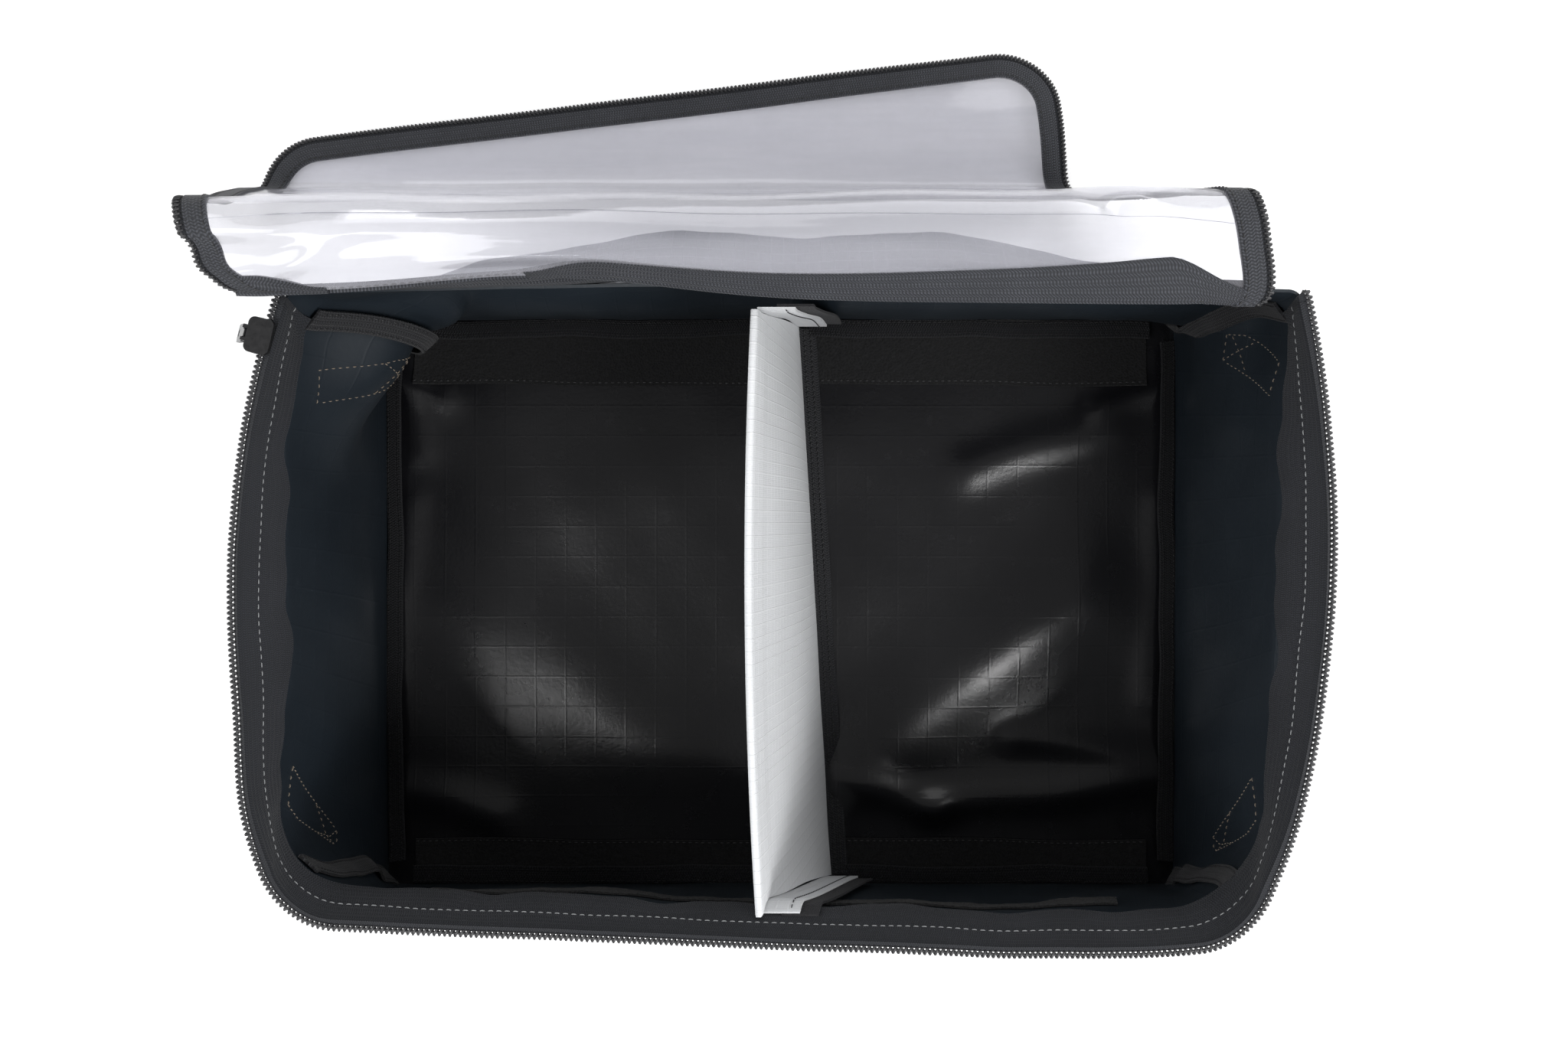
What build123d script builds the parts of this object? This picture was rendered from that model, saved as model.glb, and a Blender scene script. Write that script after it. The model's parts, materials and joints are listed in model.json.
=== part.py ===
"""Zip-top storage bag: a soft rectangular canvas bag with a zipped clear lid, thrown open behind it,
and a movable divider held by hook-and-loop tape.

Frame: millimetres, +Z up, +X to the bag's right and +Y to its back.
The origin is the middle of the underside of the floor.
"""

from build123d import *
import math
import os

os.makedirs("parts", exist_ok=True)

# ---- driving dimensions -------------------------------------------------------------------------
floor_width = 500
floor_depth = 360
rim_height = 192
canvas = 1.5  # coated canvas with its lining
tape_thickness = 1.2  # woven tape, zip tape and hook-and-loop tape
webbing_width = 25
binding_width = 12
gap = 0.4  # air between neighbouring soft pieces
corner_cut = 1 - math.sqrt(0.5)  # share of a corner's radius between its middle and its sides
bowed_corner_turn = 75  # degrees that a corner turns through where it meets a bowed side
coil_width = 4.4  # one side of a number 10 coil zip
coil_height = 2.8

# ---- the bag's outline at three heights ---------------------------------------------------------
# The front and back walls lean inwards up to the shoulder, where the zipped lip flares out again.
base = dict(side=floor_width / 2, front=-floor_depth / 2, back=floor_depth / 2, near=8, far=8, bow=0)
shoulder_height = 174
shoulder = dict(side=243, front=-140, back=159, near=44, far=20, bow=0)
rim = dict(side=243, front=-154, back=164, near=36, far=11, bow=19)  # outer edge of the zip's coil
lip_height = rim_height - coil_height
lip = dict(side=rim["side"] - coil_width, front=rim["front"] + coil_width, back=rim["back"] - coil_width,
           near=rim["near"] - coil_width, far=rim["far"] - coil_width, bow=rim["bow"])

# ---- lid ----------------------------------------------------------------------------------------
lid_half_width = 258
lid_depth = 338
lid_corner = 38
lid_shift = -8  # the lid's middle, from the bag's
lid_level = rim_height + 9  # middle of the lid's thickness when it is shut
window_thickness = 0.8
lid_binding_thickness = 2.4
fold_gap = 2.6  # each side of a fold line, so that folded panels stay clear of each other
first_fold_gap = 7.6  # the first fold is nearly flat back on itself
ground_clearance = 1.8  # middle of the folded-back lid above the ground
# Fold lines cross the lid at a slant: distance from the hinge at mid-width, slant and angle, in degrees.
fold_lines = [(14.0, -2.9, 158.0), (46.0, -7.5, 38.0), (71.0, -10.5, 58.0)]

# ---- divider ------------------------------------------------------------------------------------
divider_foot_x = 21
divider_head_x = -14
divider_thickness = 2.4
divider_foot = 6
divider_head = rim_height - 8
flange_width = 26
hook_width = 20
wall_loop_width = 25
wall_loop_height = 140  # middle of the loop tape on the front and back walls
floor_loop_back = 38
floor_loop_front = 25

# ---- handles and sliders ------------------------------------------------------------------------
leg_spread = 112  # from the middle of the side to each sewn webbing leg
leg_height = 126
leg_length = 64
leg_splay = 20
handle_pivot_height = 162
handle_half_span = 92
handle_drop = 74
handle_stand_off = 12
slider_y = 138
slider_length = 17
slider_width = 12
slider_height = 8
slider_mouth = 1.8  # the slider is open towards the tape, from this far outside the coil's middle
lug_spread = 3  # two lugs on the slider's outer face hold the pull's neck
lug_width = 1.6
lug_level = 2
lug_reach = 2.4
pull_neck = 3.4
pull_length = 24
pull_start = 5  # from the pull's pivot to its wide part
pull_hang = 60  # degrees below level
pull_width = 9
pull_thickness = 1.6


def write(piece, name):
    """Label one finished piece and export it."""
    piece.label = name
    export_step(piece, f"parts/{name}.step")


def outline(side, front, back, near, far, bow, inset=0.0):
    """A rounded rectangle whose two sides may bow outwards."""
    x, low, high = side - inset, front + inset, back - inset
    r_low, r_high = near - inset, far - inset
    turn = math.radians(bowed_corner_turn if bow else 90)

    def run(r, share):
        """How far a corner's arc still is from the side, at a share of its turn."""
        return r * (math.sin(turn) - math.sin(turn * share))

    def rise(r, share):
        """How far a corner's arc has left the end, at a share of its turn."""
        return r * (1 - math.cos(turn * share))

    side_low, side_high = low + rise(r_low, 1), high - rise(r_high, 1)
    with BuildSketch() as shape:
        with BuildLine():
            Line((-x + run(r_low, 0), low), (x - run(r_low, 0), low))
            Line((x - run(r_high, 0), high), (-x + run(r_high, 0), high))
            for s in (-1, 1):
                ThreePointArc(*[(s * (x - run(r_low, share)), low + rise(r_low, share))
                                for share in (0, 0.5, 1)])
                ThreePointArc(*[(s * (x - run(r_high, share)), high - rise(r_high, share))
                                for share in (0, 0.5, 1)])
                if bow:
                    ThreePointArc((s * x, side_low), (s * (x + bow), (side_low + side_high) / 2),
                                  (s * x, side_high))
                else:
                    Line((s * x, side_low), (s * x, side_high))
        make_face()
    return shape.sketch


def between(low_shape, high_shape, low, high, inset=0.0):
    """The solid between two outlines at two heights, both drawn in by inset."""
    with BuildPart() as block:
        with BuildSketch(Plane.XY.offset(low)):
            add(outline(**low_shape, inset=inset))
        with BuildSketch(Plane.XY.offset(high)):
            add(outline(**high_shape, inset=inset))
        loft(ruled=True)
    return block.part


def sector(name, reach=400):
    """Corners, seen from above, of the region that holds one wall, split along the corner seams."""
    foot = (floor_width / 2 + 5, floor_depth / 2 + 24)
    near = (238, 139)
    far = (243, 155)
    inner_near, inner_far = (228, 90), (230, 90)
    if name == "front":
        half = [(foot[0], -foot[1]), (near[0], -near[1]), (inner_near[0], -inner_near[1])]
        return [(-x, y) for x, y in half] + half[::-1]
    if name == "back":
        half = [(foot[0], foot[1]), far, inner_far]
        return [(-x, y) for x, y in half] + half[::-1]
    s = -1 if name == "left" else 1
    front_half = [(reach, -foot[1]), (foot[0], -foot[1]), (near[0], -near[1]),
                  (inner_near[0], -inner_near[1])]
    back_half = [inner_far, far, foot, (reach, foot[1])]
    return [(s * x, y) for x, y in front_half + back_half]


def slab(points, low, high):
    """An upright block over a polygon."""
    with BuildPart() as block:
        with BuildSketch(Plane.XY.offset(low)):
            with BuildLine():
                Polyline(*points, close=True)
            make_face()
        extrude(amount=high - low)
    return block.part


def sheet_on(plane, width, height, thickness):
    """A rectangular strip of tape or webbing centred on a plane, rising from it."""
    with BuildPart() as strip:
        with BuildSketch(plane):
            Rectangle(width, height)
        extrude(amount=thickness)
    return strip.part


# ---- floor and walls ----------------------------------------------------------------------------
with BuildPart() as floor_panel:
    with BuildSketch():
        add(outline(**base))
    extrude(amount=canvas)
write(floor_panel.part, "floor_panel")

wall_outer = between(base, shoulder, canvas, shoulder_height)
wall_inner = between(base, shoulder, canvas, shoulder_height, canvas)
lip_outer = between(shoulder, lip, shoulder_height, lip_height)
lip_inner = between(shoulder, lip, shoulder_height, lip_height, canvas)

for wall_name in ("front", "back", "left", "right"):
    with BuildPart() as wall:
        add(wall_outer)
        add(lip_outer)
        add(wall_inner, mode=Mode.SUBTRACT)
        add(lip_inner, mode=Mode.SUBTRACT)
        add(slab(sector(wall_name), 0, rim_height + 10), mode=Mode.INTERSECT)
    write(wall.part, f"{wall_name}_wall")

# ---- zip on the bag's rim: tape inside the flared lip and coil along its edge --------------------
tape_outer = between(shoulder, lip, shoulder_height, lip_height, canvas + gap / 2)
tape_inner = between(shoulder, lip, shoulder_height, lip_height, canvas + gap / 2 + tape_thickness)
with BuildPart() as coil_ring:
    with BuildSketch(Plane.XY.offset(lip_height)):
        add(outline(**rim))
    extrude(amount=coil_height)
with BuildPart() as coil_hole:
    with BuildSketch(Plane.XY.offset(lip_height)):
        add(outline(**rim, inset=coil_width))
    extrude(amount=coil_height)

zip_end_y = rim["back"] - 8
for side_name in ("front", "left", "right"):
    zone = slab(sector(side_name), 0, rim_height + 10)
    with BuildPart() as zip_zone:
        add(zone)
        with BuildSketch():
            with Locations((0, zip_end_y - 300)):
                Rectangle(800, 600)
        extrude(amount=rim_height + 10, mode=Mode.INTERSECT)
    with BuildPart() as rim_tape:
        add(tape_outer)
        add(tape_inner, mode=Mode.SUBTRACT)
        add(zip_zone.part, mode=Mode.INTERSECT)
    write(rim_tape.part, f"rim_zip_tape_{side_name}")
    with BuildPart() as rim_coil:
        add(coil_ring.part)
        add(coil_hole.part, mode=Mode.SUBTRACT)
        add(zip_zone.part, mode=Mode.INTERSECT)
    write(rim_coil.part, f"rim_zip_coil_{side_name}")

# ---- seam bindings inside -----------------------------------------------------------------------
floor_top = canvas + gap / 2
inner_x = floor_width / 2 - canvas - gap
inner_y = floor_depth / 2 - canvas - gap
side_binding_length = 2 * inner_y - 8
cross_binding_length = 2 * (inner_x - binding_width) - 6
for s, side_name in ((-1, "left"), (1, "right")):
    edge = Plane(origin=(s * (inner_x - binding_width / 2 - 0.4), 0, floor_top))
    write(sheet_on(edge, binding_width, side_binding_length, tape_thickness),
          f"floor_seam_binding_{side_name}")

front_lean = math.atan2(shoulder["front"] - base["front"], shoulder_height - canvas)
back_lean = math.atan2(base["back"] - shoulder["back"], shoulder_height - canvas)


def wall_plane(side, height):
    """A plane lying on a long wall's inner face at one height, facing into the bag."""
    s, lean = (-1, front_lean) if side == "front" else (1, back_lean)
    y = s * (floor_depth / 2 - canvas / math.cos(lean) - (height - canvas) * math.tan(lean))
    return Plane(origin=(0, y, height), x_dir=(1, 0, 0), z_dir=(0, -s * math.cos(lean), -math.sin(lean)))


for side_name in ("front", "back"):
    foot_plane = wall_plane(side_name, floor_top + binding_width / 2 + 0.6).offset(gap / 2)
    write(sheet_on(foot_plane, cross_binding_length, binding_width, tape_thickness),
          f"floor_seam_binding_{side_name}")

binding_stand_off = 3.4  # clear of the rounded corner's face


def corner_point(shape, end, s, height):
    """Middle of a rounded corner's inner face. s is -1 at the left and 1 at the right."""
    t, radius_key = (-1, "near") if end == "front" else (1, "far")
    cut = corner_cut * shape[radius_key] + canvas / math.sqrt(2)
    return Vector(s * (shape["side"] - cut), shape[end] - t * cut, height)


for end, t in (("front", -1), ("back", 1)):
    for s, side_name in ((-1, "left"), (1, "right")):
        foot = corner_point(base, end, s, canvas + tape_thickness + 3)
        head = corner_point(shoulder, end, s, shoulder_height)
        inward = Vector(-s, -t, 0).normalized()
        climb = (head - foot).normalized()
        across = climb.cross(inward).normalized()
        facing = across.cross(climb).normalized()
        start_point = foot + facing * binding_stand_off + climb * 4
        with BuildPart() as corner_binding:
            with BuildSketch(Plane(origin=start_point, x_dir=across, z_dir=climb)):
                Rectangle(binding_width * 0.6, tape_thickness)
            extrude(amount=(head - foot).length - 8)
        write(corner_binding.part, f"corner_seam_binding_{end}_{side_name}")

# ---- loop tape that holds the divider -----------------------------------------------------------
loop_length = cross_binding_length - 6
for s, side_name, width in ((-1, "front", floor_loop_front), (1, "back", floor_loop_back)):
    strip_y = s * (inner_y - tape_thickness - 2.2 - width / 2)
    write(sheet_on(Plane(origin=(0, strip_y, floor_top)), loop_length, width, tape_thickness),
          f"floor_loop_strip_{side_name}")
    wall_strip = wall_plane(side_name, wall_loop_height).offset(gap / 2)
    write(sheet_on(wall_strip, loop_length - 60, wall_loop_width, tape_thickness),
          f"wall_loop_strip_{side_name}")

# ---- divider ------------------------------------------------------------------------------------
loop_face = canvas + gap / 2 + tape_thickness + gap


def divider_x(height):
    """Middle of the leaning divider at one height."""
    share = (height - divider_foot) / (divider_head - divider_foot)
    return divider_foot_x + (divider_head_x - divider_foot_x) * share


def divider_end(side, height, clear=loop_face + tape_thickness + 2.4):
    """Where the divider stops short of a long wall at one height."""
    s, lean = (-1, front_lean) if side == "front" else (1, back_lean)
    return s * (floor_depth / 2 - clear / math.cos(lean) - (height - canvas) * math.tan(lean))


divider_lean = math.atan2(divider_head_x - divider_foot_x, divider_head - divider_foot)
divider_plane = Plane(
    origin=(divider_foot_x, 0, divider_foot),
    x_dir=(0, 1, 0),
    z_dir=(math.cos(divider_lean), 0, -math.sin(divider_lean)),
)
divider_length = (divider_head - divider_foot) / math.cos(divider_lean)
lip_tuck = shoulder_height - 4  # the panel's upper corners stay below the flared lip
tuck_run = divider_length * (lip_tuck - divider_foot) / (divider_head - divider_foot)
with BuildPart() as divider_panel:
    with BuildSketch(divider_plane):
        with BuildLine():
            Polyline(
                (divider_end("front", divider_foot), 0),
                (divider_end("back", divider_foot), 0),
                (divider_end("back", lip_tuck), tuck_run),
                (divider_end("back", lip_tuck), divider_length),
                (divider_end("front", lip_tuck), divider_length),
                (divider_end("front", lip_tuck), tuck_run),
                close=True,
            )
        make_face()
    extrude(amount=divider_thickness / 2, both=True)
write(divider_panel.part, "divider_panel")

foot_binding_plane = divider_plane.offset(divider_thickness / 2 + 0.1)
binding_head = divider_foot + binding_width
foot_binding_length = divider_end("back", binding_head) - divider_end("front", binding_head)
with BuildPart() as divider_foot_binding:
    with BuildSketch(foot_binding_plane):
        with Locations((0, binding_width / 2)):
            Rectangle(foot_binding_length - 4, binding_width)
    extrude(amount=tape_thickness)
write(divider_foot_binding.part, "divider_foot_binding")

flange_start = divider_thickness / 2 + 0.6  # from the panel's middle
flange_foot = 22
hook_start = flange_start + 14


def on_wall(face, lean, x, height):
    """A point at x and height, in the local coordinates of a leaning wall's plane."""
    local_x = x if face.x_dir.X > 0 else -x
    return local_x, height / math.cos(lean) * (1 if face.y_dir.Z > 0 else -1)


def leaning_strip(side, offset, start, width, low, high):
    """A strip on a long wall that keeps its distance from the leaning divider."""
    face, lean = wall_plane(side, 0), front_lean if side == "front" else back_lean
    corners = [(divider_x(low) + start, low), (divider_x(low) + start + width, low),
               (divider_x(high) + start + width, high), (divider_x(high) + start, high)]
    with BuildPart() as strip:
        with BuildSketch(face.offset(offset)):
            with BuildLine():
                Polyline(*[on_wall(face, lean, x, height) for x, height in corners], close=True)
            make_face()
        extrude(amount=tape_thickness)
    return strip.part


for side_name in ("front", "back"):
    flange_offset = loop_face - canvas + tape_thickness + gap
    write(leaning_strip(side_name, flange_offset, flange_start, flange_width, flange_foot, lip_tuck),
          f"divider_flange_{side_name}")
    hook_foot, hook_head = flange_foot + 2, lip_tuck - 2
    write(leaning_strip(side_name, loop_face - canvas, hook_start, hook_width, hook_foot, hook_head),
          f"divider_hook_strip_{side_name}")

# ---- webbing handles outside the two short sides ------------------------------------------------
side_lean = math.atan2(base["side"] - shoulder["side"], shoulder_height - canvas)
for s, side_name in ((-1, "left"), (1, "right")):
    side_face = Plane(
        origin=(s * (base["side"] - (leg_height - canvas) * math.tan(side_lean)), 0, leg_height),
        x_dir=(0, s, 0),
        z_dir=(s * math.cos(side_lean), 0, math.sin(side_lean)),
    )
    with BuildPart() as legs:
        with BuildSketch(side_face.offset(gap / 2)):
            for t in (-1, 1):
                with Locations(Location((t * leg_spread, 0), t * leg_splay)):
                    Rectangle(webbing_width, leg_length)
        extrude(amount=tape_thickness + 0.4)
    write(legs.part, f"handle_legs_{side_name}")

    pivot_x = s * (base["side"] + 6)
    reach = math.hypot(handle_drop, handle_stand_off)
    hang = math.atan2(handle_stand_off, handle_drop)
    strap_plane = Plane(
        origin=(pivot_x, 0, handle_pivot_height),
        x_dir=(0, 1, 0),
        z_dir=(s * math.cos(hang), 0, math.sin(hang)),
    )
    down = -1 if strap_plane.y_dir.Z > 0 else 1
    with BuildPart() as strap:
        with BuildSketch(strap_plane):
            with BuildLine():
                FilletPolyline(
                    (-handle_half_span, down * 2),
                    (-handle_half_span * 0.72, down * (reach - webbing_width / 2)),
                    (handle_half_span * 0.72, down * (reach - webbing_width / 2)),
                    (handle_half_span, down * 2),
                    radius=26,
                )
            trace(line_width=webbing_width - 2)
        extrude(amount=canvas / 2, both=True)
    write(strap.part, f"handle_strap_{side_name}")

# ---- zip slider, parked at the left end of the zip; it follows the bowed side of the rim ----------
side_turn = math.radians(bowed_corner_turn)
side_low = rim["front"] + rim["near"] * (1 - math.cos(side_turn))
side_high = rim["back"] - rim["far"] * (1 - math.cos(side_turn))
side_middle = (side_low + side_high) / 2
bow_radius = ((side_high - side_low) ** 2 / 4 + rim["bow"] ** 2) / (2 * rim["bow"])
bow_centre_x = -rim["side"] - rim["bow"] + bow_radius
coil_radius = bow_radius - coil_width / 2
slider_turn = math.asin((slider_y - side_middle) / coil_radius)
coil_middle = lip_height + coil_height / 2
channel_width = coil_width + 1.2
channel_height = coil_height + 1.2
outward = (-math.cos(slider_turn), math.sin(slider_turn), 0)
slider_plane = Plane(
    origin=(bow_centre_x + coil_radius * outward[0], side_middle + coil_radius * outward[1], coil_middle),
    x_dir=outward,
    z_dir=(0, 0, 1),
)
with BuildPart() as slider:
    with BuildSketch(slider_plane.offset(-slider_height / 2)):
        RectangleRounded(slider_width, slider_length, 3)
    extrude(amount=slider_height)
    with BuildSketch(slider_plane.offset(-channel_height / 2)):
        Rectangle(channel_width, slider_length + 4)
    extrude(amount=channel_height, mode=Mode.SUBTRACT)
    with BuildSketch(slider_plane.offset(-slider_height)):
        with Locations((-slider_width / 2 - slider_mouth, 0)):
            Rectangle(slider_width, slider_length + 4)
    extrude(amount=slider_height + channel_height / 2, mode=Mode.SUBTRACT)
    with BuildSketch(slider_plane.offset(lug_level - lug_width)):
        with Locations((slider_width / 2 + lug_reach / 2 - 0.5, -lug_spread),
                       (slider_width / 2 + lug_reach / 2 - 0.5, lug_spread)):
            Rectangle(lug_reach + 1, lug_width)
    extrude(amount=2 * lug_width)
write(slider.part, "zip_slider")

# The pull hangs outside the bag from a pivot along the zip.
pull_pivot = slider_plane.from_local_coords(Vector(slider_width / 2 + lug_reach / 2, 0, lug_level))
hang_turn = math.radians(pull_hang)
pull_direction = slider_plane.x_dir * math.cos(hang_turn) - slider_plane.z_dir * math.sin(hang_turn)
pull_plane = Plane(origin=pull_pivot, x_dir=slider_plane.y_dir,
                   z_dir=slider_plane.y_dir.cross(pull_direction))
with BuildPart() as pull:
    with BuildSketch(pull_plane):
        with Locations((0, pull_start / 2)):
            Rectangle(pull_neck, pull_start + 1)
        with Locations((0, pull_start + pull_length / 2)):
            RectangleRounded(pull_width, pull_length, 2.5)
        with Locations((0, pull_start + pull_length - 5)):
            Circle(2, mode=Mode.SUBTRACT)
    extrude(amount=pull_thickness / 2, both=True)
write(pull.part, "zip_pull")

# ---- lid ----------------------------------------------------------------------------------------
# The shut lid is flat. Each panel's plane keeps the lid's own coordinates, x across it and y away from
# the hinge, and is turned about every fold line between that panel and the hinge.
hinge_y = rim["back"]
lid_start = 4  # the lid's own edge, in front of the hinge seam


def turned(vector, axis_direction, angle):
    """A vector turned about a direction through the origin."""
    return vector.rotate(Axis((0, 0, 0), axis_direction), angle)


def folded(sheet, distance, slant, angle):
    """A panel's plane turned about a fold line, with the line's point and direction."""
    pivot = sheet.from_local_coords(Vector(0, distance, 0))
    lean = math.radians(slant)
    along = (sheet.x_dir * math.cos(lean) + sheet.y_dir * math.sin(lean)).normalized()
    origin = pivot + turned(sheet.origin - pivot, along, -angle)
    turned_sheet = Plane(origin=origin, x_dir=turned(sheet.x_dir, along, -angle),
                         z_dir=turned(sheet.z_dir, along, -angle))
    return turned_sheet, pivot, along


shut = Plane(origin=(lid_shift, hinge_y, lid_level), x_dir=(1, 0, 0), z_dir=(0, 0, -1))
panels = [shut]
folds = []
for distance, slant, angle in fold_lines:
    panel, pivot, along = folded(panels[-1], distance, slant, angle)
    panels.append(panel)
    folds.append((distance, slant, angle, pivot, along))

# The last fold is where the hanging panel meets the ground, behind the bag.
hanging = panels[-1]
last_distance = (ground_clearance - hanging.origin.Z) / hanging.y_dir.Z
last_slant = math.degrees(math.atan2(-hanging.x_dir.Z, hanging.y_dir.Z) if hanging.y_dir.Z > 0 else
                          math.atan2(hanging.x_dir.Z, -hanging.y_dir.Z))
last_angle = -math.degrees(math.acos(hanging.z_dir.Z))
panel, pivot, along = folded(hanging, last_distance, last_slant, last_angle)
panels.append(panel)
folds.append((last_distance, last_slant, last_angle, pivot, along))


def lid_outline(inset=0.0):
    """The flat lid, drawn in by inset on its three zipped edges but not along the hinge."""
    x, far_end, r = lid_half_width - inset, lid_depth - inset, lid_corner - inset
    with BuildSketch() as shape:
        with BuildLine():
            Polyline((-x, far_end - r), (-x, lid_start), (x, lid_start), (x, far_end - r))
            for s in (-1, 1):
                ThreePointArc((s * x, far_end - r), (s * (x - corner_cut * r), far_end - corner_cut * r),
                              (s * (x - r), far_end))
            Line((x - r, far_end), (-x + r, far_end))
        make_face()
    return shape.sketch


def fold_distance(number, x):
    """How far fold line number lies from the hinge at x; past the last fold line, beyond the lid's end."""
    if number < 0:
        return 0
    if number >= len(folds):
        return lid_depth + 60
    return folds[number][0] + x * math.tan(math.radians(folds[number][1]))


def strip_between_folds(number, half=lid_half_width + 1):
    """The strip of the flat lid between two fold lines, less the gap at each."""
    gaps = [-20, first_fold_gap] + [fold_gap] * (len(folds) - 1) + [0]
    near_gap, far_gap = gaps[number], gaps[number + 1]
    with BuildSketch() as strip:
        with BuildLine():
            Polyline(
                (-half, fold_distance(number - 1, -half) + near_gap),
                (half, fold_distance(number - 1, half) + near_gap),
                (half, fold_distance(number, half) - far_gap),
                (-half, fold_distance(number, -half) - far_gap),
                close=True,
            )
        make_face()
    return strip.sketch


zip_inset = coil_width - 0.4
binding_inset = zip_inset + 2.4
window_inset = binding_inset + binding_width
panel_names = ["hinge", "roll", "crown", "hanging", "far"]
for number, (plane, name) in enumerate(zip(panels, panel_names)):
    with BuildPart() as window:
        with BuildSketch(plane.offset(-window_thickness / 2)):
            add(lid_outline(window_inset + 0.3))
            add(strip_between_folds(number), mode=Mode.INTERSECT)
        extrude(amount=window_thickness)
    write(window.part, f"lid_window_{name}")
    with BuildPart() as binding:
        with BuildSketch(plane.offset(-lid_binding_thickness / 2)):
            add(lid_outline(binding_inset))
            add(strip_between_folds(number), mode=Mode.INTERSECT)
        extrude(amount=lid_binding_thickness)
        with BuildSketch(plane.offset(-lid_binding_thickness)):
            add(lid_outline(window_inset))
        extrude(amount=2 * lid_binding_thickness, mode=Mode.SUBTRACT)
    write(binding.part, f"lid_binding_{name}")
    with BuildPart() as lid_zip:
        with BuildSketch(plane.offset(-coil_height / 2)):
            add(lid_outline())
            add(strip_between_folds(number), mode=Mode.INTERSECT)
        extrude(amount=coil_height)
        with BuildSketch(plane.offset(-coil_height)):
            add(lid_outline(zip_inset))
        extrude(amount=2 * coil_height, mode=Mode.SUBTRACT)
    write(lid_zip.part, f"lid_zip_{name}")

with BuildPart() as hinge_binding:
    with BuildSketch(Plane.XY.offset(lip_height + gap)):
        with Locations((lid_shift, hinge_y - 1)):
            Rectangle(2 * lid_half_width - 64, 6)
    extrude(amount=lid_level + 1.4 - lip_height - gap)
write(hinge_binding.part, "hinge_binding")

print("lid folds: distance, slant, angle, point, direction")
for distance, slant, angle, pivot, along in folds:
    print([round(value, 5) for value in (distance, slant, angle, *pivot, *along)])
for name, plane in zip(panel_names, panels):
    corners = [plane.from_local_coords(Vector(s * lid_half_width, lid_depth, 0)) for s in (-1, 0, 1)]
    print(name, "normal", [round(value, 3) for value in plane.z_dir],
          "far edge", [[round(value) for value in corner] for corner in corners])
print("slider arc centre", round(bow_centre_x, 3), round(side_middle, 3))
print("slider place", slider_plane.origin, "outward", slider_plane.x_dir, "forward", slider_plane.y_dir)
print("pull pivot", pull_pivot, "axis", slider_plane.y_dir * -1)
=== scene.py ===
"""Looks of the zip-top storage bag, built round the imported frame.

Lengths are millimetres in the frame's axes until a mesh is made: the bag stands on z = 0, +X is its right
and +Y its back. Points of a wall are found by u, which runs round the bag from 0 to 8 (front, corner,
right side, corner, back, corner, left side, corner), and by height.
"""
import json
import math

import bpy
import numpy as np
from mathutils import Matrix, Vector


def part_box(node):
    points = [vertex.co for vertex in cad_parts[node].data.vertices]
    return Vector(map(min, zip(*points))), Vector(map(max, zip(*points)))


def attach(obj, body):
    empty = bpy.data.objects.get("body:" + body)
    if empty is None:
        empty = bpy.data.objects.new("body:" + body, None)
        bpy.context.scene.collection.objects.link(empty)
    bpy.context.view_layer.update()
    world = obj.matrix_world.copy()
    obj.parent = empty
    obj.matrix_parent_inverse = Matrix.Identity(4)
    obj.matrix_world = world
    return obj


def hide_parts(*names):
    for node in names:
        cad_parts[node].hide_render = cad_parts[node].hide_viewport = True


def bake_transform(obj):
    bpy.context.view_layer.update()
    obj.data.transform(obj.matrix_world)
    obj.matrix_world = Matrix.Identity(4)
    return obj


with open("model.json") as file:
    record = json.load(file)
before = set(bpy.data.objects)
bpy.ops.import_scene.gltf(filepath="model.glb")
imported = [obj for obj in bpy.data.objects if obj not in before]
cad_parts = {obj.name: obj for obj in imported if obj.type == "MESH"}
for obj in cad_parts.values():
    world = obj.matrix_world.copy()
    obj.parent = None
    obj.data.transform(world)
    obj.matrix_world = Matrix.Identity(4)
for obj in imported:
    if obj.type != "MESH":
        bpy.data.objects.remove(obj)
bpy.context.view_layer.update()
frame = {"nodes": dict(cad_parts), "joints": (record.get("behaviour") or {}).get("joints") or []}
joints = {joint["name"]: joint for joint in frame["joints"]}


def box(node):
    """A CAD node's two corners in millimetres."""
    low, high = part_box(node)
    return np.array(low) * 1000, np.array(high) * 1000


# ---- sizes ----
floor_high = box("floor_panel")[1]
coil_low, coil_high = box("rim_zip_coil_front")
lip_height, rim_height = coil_low[2], coil_high[2]
shoulder_height = 174
canvas = 1.5
coil_width = 4.4
# Outlines as half width, front, back, front and back corner radius, and bow of the sides.
base = (floor_high[0], -floor_high[1], floor_high[1], 8, 8, 0)
shoulder = (243, -140, 159, 44, 20, 0)
rim = (243, coil_low[1], 164, 36, 11, 19)
lip = (rim[0] - coil_width, rim[1] + coil_width, *[size - coil_width for size in rim[2:5]], rim[5])
bowed_corner_turn = 75  # degrees
tape_reach = 17  # height that the rim's zip tape covers inside
zip_pitch = 2.5
binding_width = 12
webbing_width = 25
front_tuck = 12  # how far the right handle's front end follows the slumped wall inwards
upright = np.array([0, 0, 1.0])

back_bulge = 42
lid_shift, hinge_y = -8, 164
lid_level = joints["lid_hinge"]["pos_m"][2] * 1000
lid_half, lid_length, lid_corner, roll_bend = 253, 343, 38, 30
window_inset, binding_inset = 12, 4.6
fold_names = ("lid_hinge", "lid_fold_crown", "lid_fold_drop", "lid_fold_ground")


def smooth(x):
    x = np.clip(x, 0, 1)
    return x * x * (3 - 2 * x)


def bump(x):
    """1 at 0, falling to nothing by 2 on either side."""
    return np.exp(-np.square(x))


def unit(v):
    return v / np.maximum(np.linalg.norm(v, axis=-1, keepdims=True), 1e-9)


def lengths(path):
    """Distance run along a path at each of its points."""
    return np.concatenate([[0], np.cumsum(np.linalg.norm(np.diff(path, axis=0), axis=1))])


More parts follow.
